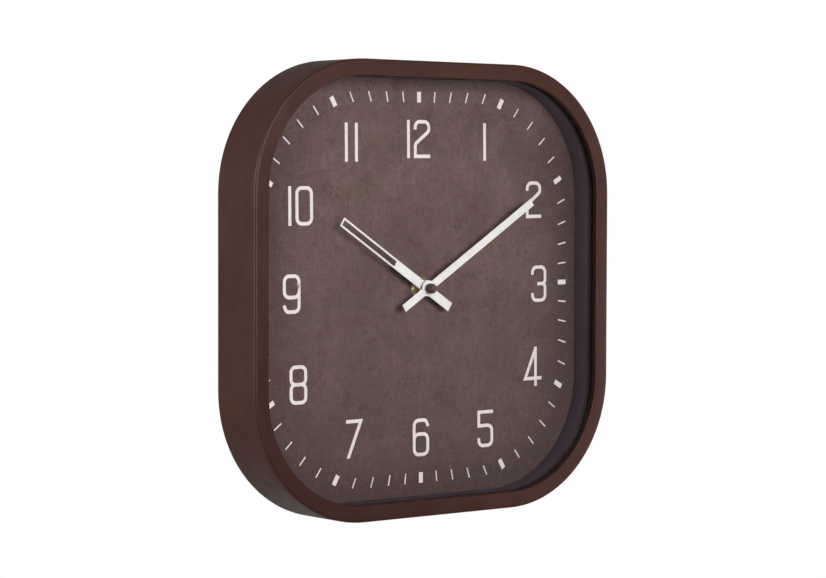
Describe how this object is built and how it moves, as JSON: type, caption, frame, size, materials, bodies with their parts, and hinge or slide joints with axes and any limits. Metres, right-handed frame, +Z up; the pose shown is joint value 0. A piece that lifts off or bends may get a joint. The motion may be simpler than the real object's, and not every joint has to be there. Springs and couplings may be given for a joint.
{
  "type": "wall clock",
  "caption": "Rounded-square battery wall clock: deep plain rim, glass front, recessed dial, bar minute hand, slotted hour hand, geared quartz movement and keyhole hanger.",
  "frame": {"origin": "on the hand axis, in the plane of the wall that the rear rim rests on", "axes": "+Z up, +Y into the wall, the dial faces -Y, +X to the right of somebody reading it"},
  "size_m": [0.4, 0.055, 0.4],
  "materials": {
    "case_lacquer": "satin, dark brown",
    "clear_glass": "clear",
    "black_rubber": "matt black",
    "ring_plastic": "matt, dark plum brown",
    "dial_paper": "printed paper on fibreboard, brown",
    "cover_plastic": "fine grain, near black",
    "screw_steel": "zinc plated",
    "hanger_steel": "zinc plated",
    "rivet_aluminium": "satin",
    "movement_plastic": "matt black",
    "bush_brass": "turned",
    "washer_brass": "polished",
    "hand_white": "warm white lacquer",
    "collet_brass": "turned",
    "arbor_brass": "turned",
    "gear_plastic": "natural acetal",
    "cap_brown": "satin brown",
    "knob_plastic": "dark grey",
    "magnet": "sintered",
    "plate_plastic": "moulded",
    "stator_iron": "bright",
    "bobbin_plastic": "red",
    "copper_wire": "enamelled copper wire",
    "board_laminate": "green",
    "chip_resin": "black resin",
    "crystal_can": "bright can",
    "contact_steel": "nickel plated",
    "battery_jacket": "plain printed jacket"
  },
  "bodies": {
    "root": {"case_rim": "case_lacquer", "glass": "clear_glass", "glass_gasket": "black_rubber", "spacer_ring": "ring_plastic", "dial_board": "dial_paper", "back_cover": "cover_plastic", "back_cover_screws": "screw_steel", "hanger_plate": "hanger_steel", "hanger_rivets": "rivet_aluminium", "movement_front_shell": "movement_plastic", "movement_rear_shell": "movement_plastic", "threaded_bush": "bush_brass", "rubber_washer": "black_rubber", "brass_washer": "washer_brass", "hex_nut": "washer_brass", "middle_plate": "plate_plastic", "train_bridge": "plate_plastic", "stator_plate": "stator_iron", "coil_core": "stator_iron", "coil_bobbin": "bobbin_plastic", "coil_winding": "copper_wire", "coil_screws": "screw_steel", "circuit_board": "board_laminate", "controller_chip": "chip_resin", "quartz_crystal": "crystal_can", "positive_contact": "contact_steel", "negative_contact": "contact_steel"},
    "minute_group": {"minute_hand": "hand_white", "minute_hand_collet": "collet_brass", "minute_arbor": "arbor_brass", "centre_cap": "cap_brown"},
    "hour_group": {"hour_hand": "hand_white", "hour_hand_collet": "collet_brass", "hour_wheel": "gear_plastic"},
    "minute_wheel": {"minute_wheel": "gear_plastic"},
    "setting_group": {"setting_arbor": "gear_plastic", "setting_knob": "knob_plastic"},
    "centre_wheel": {"centre_wheel": "gear_plastic"},
    "third_wheel": {"third_wheel": "gear_plastic"},
    "fourth_wheel": {"fourth_wheel": "gear_plastic"},
    "fifth_wheel": {"fifth_wheel": "gear_plastic"},
    "rotor": {"rotor_pinion": "gear_plastic", "rotor_magnet": "magnet"},
    "battery": {"battery_cell": "battery_jacket"}
  },
  "joints": [
    {"name": "minute_hand_turn", "type": "hinge", "parent": "root", "child": "minute_group", "pos_m": [0, -0.037, 0], "axis": [0, 1, 0], "continuous": true},
    {"name": "hour_hand_turn", "type": "hinge", "parent": "root", "child": "hour_group", "pos_m": [0, -0.0338, 0], "axis": [0, 1, 0], "continuous": true},
    {"name": "minute_wheel_turn", "type": "hinge", "parent": "root", "child": "minute_wheel", "pos_m": [0.00705, -0.018, -0.00257], "axis": [0, 1, 0], "continuous": true},
    {"name": "setting_knob_turn", "type": "hinge", "parent": "root", "child": "setting_group", "pos_m": [0.01443, -0.003, -0.00387], "axis": [0, 1, 0], "continuous": true},
    {"name": "rotor_turn", "type": "hinge", "parent": "root", "child": "rotor", "pos_m": [0.00216, -0.0125, 0.01226], "axis": [0, 1, 0], "continuous": true},
    {"name": "fifth_wheel_turn", "type": "hinge", "parent": "root", "child": "fifth_wheel", "pos_m": [0.00125, -0.0108, 0.00709], "axis": [0, 1, 0], "continuous": true},
    {"name": "fourth_wheel_turn", "type": "hinge", "parent": "root", "child": "fourth_wheel", "pos_m": [0, -0.0122, 0], "axis": [0, 1, 0], "continuous": true},
    {"name": "third_wheel_turn", "type": "hinge", "parent": "root", "child": "third_wheel", "pos_m": [-0.00883, -0.0138, 0.0051], "axis": [0, 1, 0], "continuous": true},
    {"name": "centre_wheel_turn", "type": "hinge", "parent": "root", "child": "centre_wheel", "pos_m": [0, -0.0162, 0], "axis": [0, 1, 0], "continuous": true},
    {"name": "battery_slide", "type": "slide", "parent": "root", "child": "battery", "axis": [0, 1, 0], "range_m": [0, 0.02]}
  ],
  "couplings": [
    {"joint": "minute_wheel_turn", "follows": "minute_hand_turn", "ratio": -0.33333},
    {"joint": "hour_hand_turn", "follows": "minute_hand_turn", "ratio": 0.083333},
    {"joint": "setting_knob_turn", "follows": "minute_hand_turn", "ratio": 1},
    {"joint": "fifth_wheel_turn", "follows": "rotor_turn", "ratio": -0.16667},
    {"joint": "fourth_wheel_turn", "follows": "rotor_turn", "ratio": 0.033333},
    {"joint": "third_wheel_turn", "follows": "rotor_turn", "ratio": -0.0041667},
    {"joint": "centre_wheel_turn", "follows": "rotor_turn", "ratio": 0.00055556}
  ]
}
